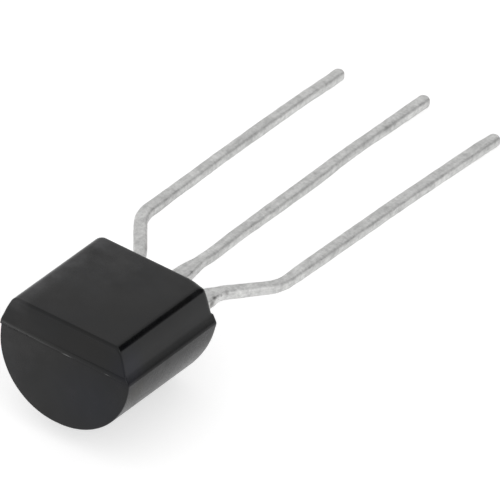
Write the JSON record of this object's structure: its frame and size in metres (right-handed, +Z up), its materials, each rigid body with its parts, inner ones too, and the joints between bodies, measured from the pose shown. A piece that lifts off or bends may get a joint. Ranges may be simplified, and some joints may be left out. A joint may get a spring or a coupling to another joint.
{
  "type": "to-92 transistor",
  "caption": "Small-signal transistor in a moulded half-round package with in-line leads, the outer ones formed to a wider pitch for a circuit board.",
  "frame": {"origin": "on the surface that the transistor lies on, midway along its length and in the middle plane of the body's round half", "axes": "+Z up, with the flat face of the body upwards and tilted 9 degrees; +Y along the leads, from the body to their tips; +X across the body, from the collector lead to the emitter lead"},
  "size_m": [0.0056, 0.0182, 0.0041],
  "materials": {
    "moulding_compound": "satin",
    "tinned_lead": "satin",
    "silicon": "polished",
    "die_bond": "matte",
    "bond_wire": "gloss"
  },
  "bodies": {
    "root": {"moulded_body": "moulding_compound", "collector_lead": "tinned_lead", "base_lead": "tinned_lead", "emitter_lead": "tinned_lead", "die": "silicon", "die_attach": "die_bond", "base_wire": "bond_wire", "emitter_wire": "bond_wire"}
  },
  "joints": []
}
